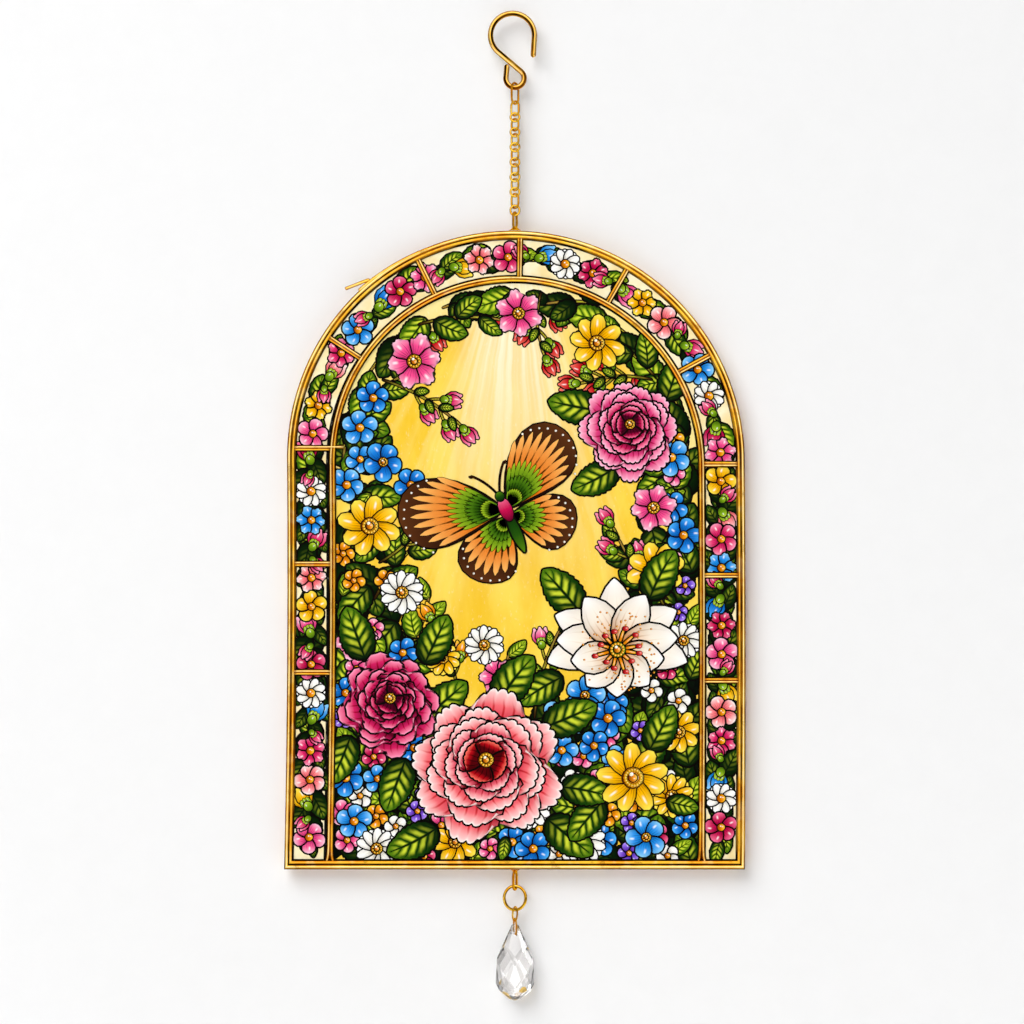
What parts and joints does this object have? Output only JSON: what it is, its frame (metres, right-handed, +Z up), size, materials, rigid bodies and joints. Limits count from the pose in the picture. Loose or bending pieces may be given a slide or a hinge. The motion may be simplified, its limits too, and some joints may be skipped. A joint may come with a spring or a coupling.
{
  "type": "glass suncatcher",
  "caption": "Arched painted-glass panel in a gilt double-rod frame with a border of cells, hung by a fine chain and an S-hook, with a clear faceted teardrop below.",
  "frame": {"origin": "underside of the S-hook's crown, where the hook rests on what holds it up", "axes": "+Z up along the hanging line, +X to the right seen from the front, and the painted front faces -Y"},
  "size_m": [0.2017, 0.0106, 0.433],
  "materials": {
    "gilt": "polished gold plate",
    "painted_glass": "glossy painted and stained glass, amber ground",
    "crystal_glass": "clear faceted crystal"
  },
  "bodies": {
    "root": {"s_hook": "gilt", "top_link": "gilt", "chain_link_1": "gilt", "chain_link_2": "gilt", "chain_link_3": "gilt", "chain_link_4": "gilt", "chain_link_5": "gilt", "chain_link_6": "gilt", "chain_link_7": "gilt", "chain_ring_1": "gilt", "chain_ring_2": "gilt", "chain_ring_3": "gilt", "chain_ring_4": "gilt", "chain_ring_5": "gilt", "chain_ring_6": "gilt", "chain_ring_7": "gilt", "top_eye": "gilt", "frame": "gilt", "glass_pane": "painted_glass", "inner_came": "gilt", "arch_bar_1": "gilt", "arch_bar_2": "gilt", "arch_bar_3": "gilt", "arch_bar_4": "gilt", "arch_bar_5": "gilt", "left_bar_1": "gilt", "left_bar_2": "gilt", "left_bar_3": "gilt", "right_bar_1": "gilt", "right_bar_2": "gilt", "right_bar_3": "gilt", "bottom_eye": "gilt", "jump_ring": "gilt", "small_ring": "gilt", "crystal_bail": "gilt", "crystal": "crystal_glass"}
  },
  "joints": []
}
